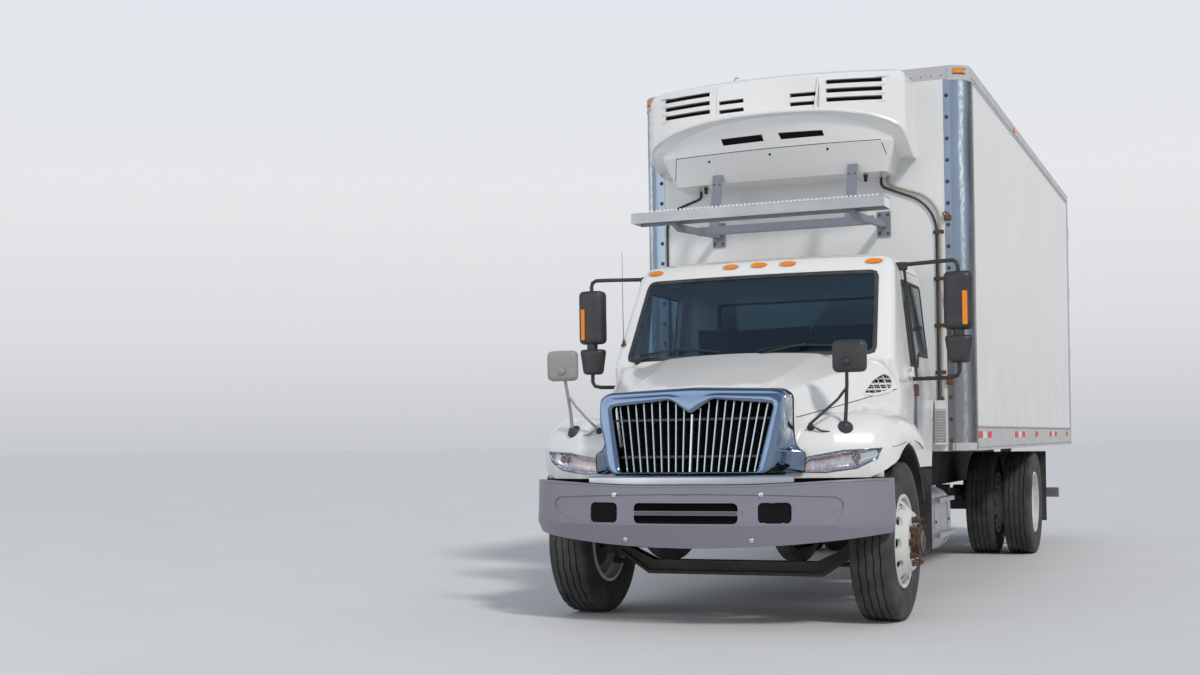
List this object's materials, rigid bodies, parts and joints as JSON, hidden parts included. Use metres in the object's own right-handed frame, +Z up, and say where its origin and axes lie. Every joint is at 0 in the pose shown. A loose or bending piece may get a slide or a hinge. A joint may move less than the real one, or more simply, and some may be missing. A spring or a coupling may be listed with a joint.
{
  "type": "refrigerated truck with conventional cab",
  "caption": "Conventional-cab refrigerated box truck with nose-mounted cooling unit, tilting hood, steering front wheels, opening cab doors and swing rear doors.",
  "frame": {"origin": "on the ground, at the centre of the truck's bounding box in plan", "axes": "+Z up, the truck faces -Y, +X is the driver's (left) side"},
  "size_m": [2.92, 9.8498, 3.9399],
  "materials": {
    "paint_white": "gloss white paint, light road grime",
    "panel_white": "white composite panel",
    "frame_black": "black chassis paint, dusty",
    "cast_iron": "dark cast and forged steel, dusty",
    "bumper_grey": "satin lilac grey paint",
    "chrome": "bright chrome",
    "aluminium": "mill aluminium",
    "stainless": "polished stainless sheet",
    "glass": "tinted glass",
    "lamp_glass": "clear lamp lens",
    "lamp_amber": "amber lens",
    "lamp_red": "red lens",
    "black_plastic": "grained dark plastic",
    "dash_grey": "grained dashboard plastic",
    "seat_cloth": "woven seat cloth",
    "rim_white": "white painted steel, rusty nuts and hub",
    "tyre": "black rubber, dusty sidewall",
    "rubber": "black rubber sheet"
  },
  "bodies": {
    "chassis": {"frame": "frame_black", "bumper": "bumper_grey", "front_axle": "cast_iron", "leaf_springs": "frame_black", "rear_axle": "cast_iron", "engine": "cast_iron", "radiator": "black_plastic", "driveline": "cast_iron", "tanks": "aluminium", "battery_box": "aluminium", "exhaust": "cast_iron", "cab_shell": "paint_white", "cab_glass": "glass", "dashboard": "dash_grey", "seats": "seat_cloth", "lamps": "lamp_amber", "box_sides": "panel_white", "box_front_wall": "panel_white", "corner_posts": "stainless", "box_floor": "aluminium", "box_rails": "aluminium", "box_roof": "panel_white", "rear_frame": "stainless", "unit_shell": "paint_white", "unit_base": "paint_white", "walkway_plank": "aluminium", "walkway_arms": "aluminium", "mud_flaps": "rubber", "floor_sills": "frame_black", "rear_lamps": "lamp_red", "unit_lines": "rubber", "junction_box": "paint_white"},
    "hood": {"hood_shell": "paint_white", "headlights": "lamp_glass", "grille_surround": "chrome", "grille_bars": "chrome", "hood_mirrors": "black_plastic"},
    "left_door": {"door_left": "paint_white", "door_glass_left": "glass", "mirror_left": "black_plastic"},
    "right_door": {"door_right": "paint_white", "door_glass_right": "glass", "mirror_right": "black_plastic"},
    "left_knuckle": {"knuckle_left": "cast_iron"},
    "right_knuckle": {"knuckle_right": "cast_iron"},
    "steering_rod": {"tie_rod": "cast_iron"},
    "front_left_wheel": {"rim_front_left": "rim_white", "tyre_front_left": "tyre"},
    "front_right_wheel": {"rim_front_right": "rim_white", "tyre_front_right": "tyre"},
    "rear_left_wheels": {"rims_rear_left": "rim_white", "tyres_rear_left": "tyre"},
    "rear_right_wheels": {"rims_rear_right": "rim_white", "tyres_rear_right": "tyre"},
    "left_rear_door": {"rear_door_left": "panel_white"},
    "right_rear_door": {"rear_door_right": "panel_white"}
  },
  "joints": [
    {"name": "hood_tilt", "type": "hinge", "parent": "chassis", "child": "hood", "pos_m": [0, -4.833, 0.72], "axis": [1, 0, 0], "range_deg": [0, 60]},
    {"name": "left_door_hinge", "type": "hinge", "parent": "chassis", "child": "left_door", "pos_m": [1.04, -3.091, 1.6], "axis": [0, 0, -1], "range_deg": [0, 65]},
    {"name": "right_door_hinge", "type": "hinge", "parent": "chassis", "child": "right_door", "pos_m": [-1.04, -3.091, 1.6], "axis": [0, 0, 1], "range_deg": [0, 65]},
    {"name": "steer_left", "type": "hinge", "parent": "chassis", "child": "left_knuckle", "pos_m": [0.91, -3.905, 0.5], "axis": [0, 0, 1], "range_deg": [-35, 35]},
    {"name": "steer_right", "type": "hinge", "parent": "chassis", "child": "right_knuckle", "pos_m": [-0.91, -3.905, 0.5], "axis": [0, 0, 1], "range_deg": [-35, 35]},
    {"name": "tie_rod_pivot", "type": "hinge", "parent": "left_knuckle", "child": "steering_rod", "pos_m": [0.91, -3.765, 0.34], "axis": [0, 0, 1], "range_deg": [-35, 35]},
    {"name": "front_left_spin", "type": "hinge", "parent": "left_knuckle", "child": "front_left_wheel", "pos_m": [1.015, -3.905, 0.506], "axis": [1, 0, 0], "continuous": true},
    {"name": "front_right_spin", "type": "hinge", "parent": "right_knuckle", "child": "front_right_wheel", "pos_m": [-1.015, -3.905, 0.506], "axis": [1, 0, 0], "continuous": true},
    {"name": "rear_left_spin", "type": "hinge", "parent": "chassis", "child": "rear_left_wheels", "pos_m": [0.915, 2.045, 0.506], "axis": [1, 0, 0], "continuous": true},
    {"name": "rear_right_spin", "type": "hinge", "parent": "chassis", "child": "rear_right_wheels", "pos_m": [-0.915, 2.045, 0.506], "axis": [1, 0, 0], "continuous": true},
    {"name": "left_rear_door_hinge", "type": "hinge", "parent": "chassis", "child": "left_rear_door", "pos_m": [1.3, 4.897, 2.48], "axis": [0, 0, -1], "range_deg": [0, 255]},
    {"name": "right_rear_door_hinge", "type": "hinge", "parent": "chassis", "child": "right_rear_door", "pos_m": [-1.3, 4.897, 2.48], "axis": [0, 0, 1], "range_deg": [0, 255]}
  ],
  "couplings": [
    {"joint": "steer_right", "follows": "steer_left", "ratio": 1},
    {"joint": "tie_rod_pivot", "follows": "steer_left", "ratio": -1}
  ]
}
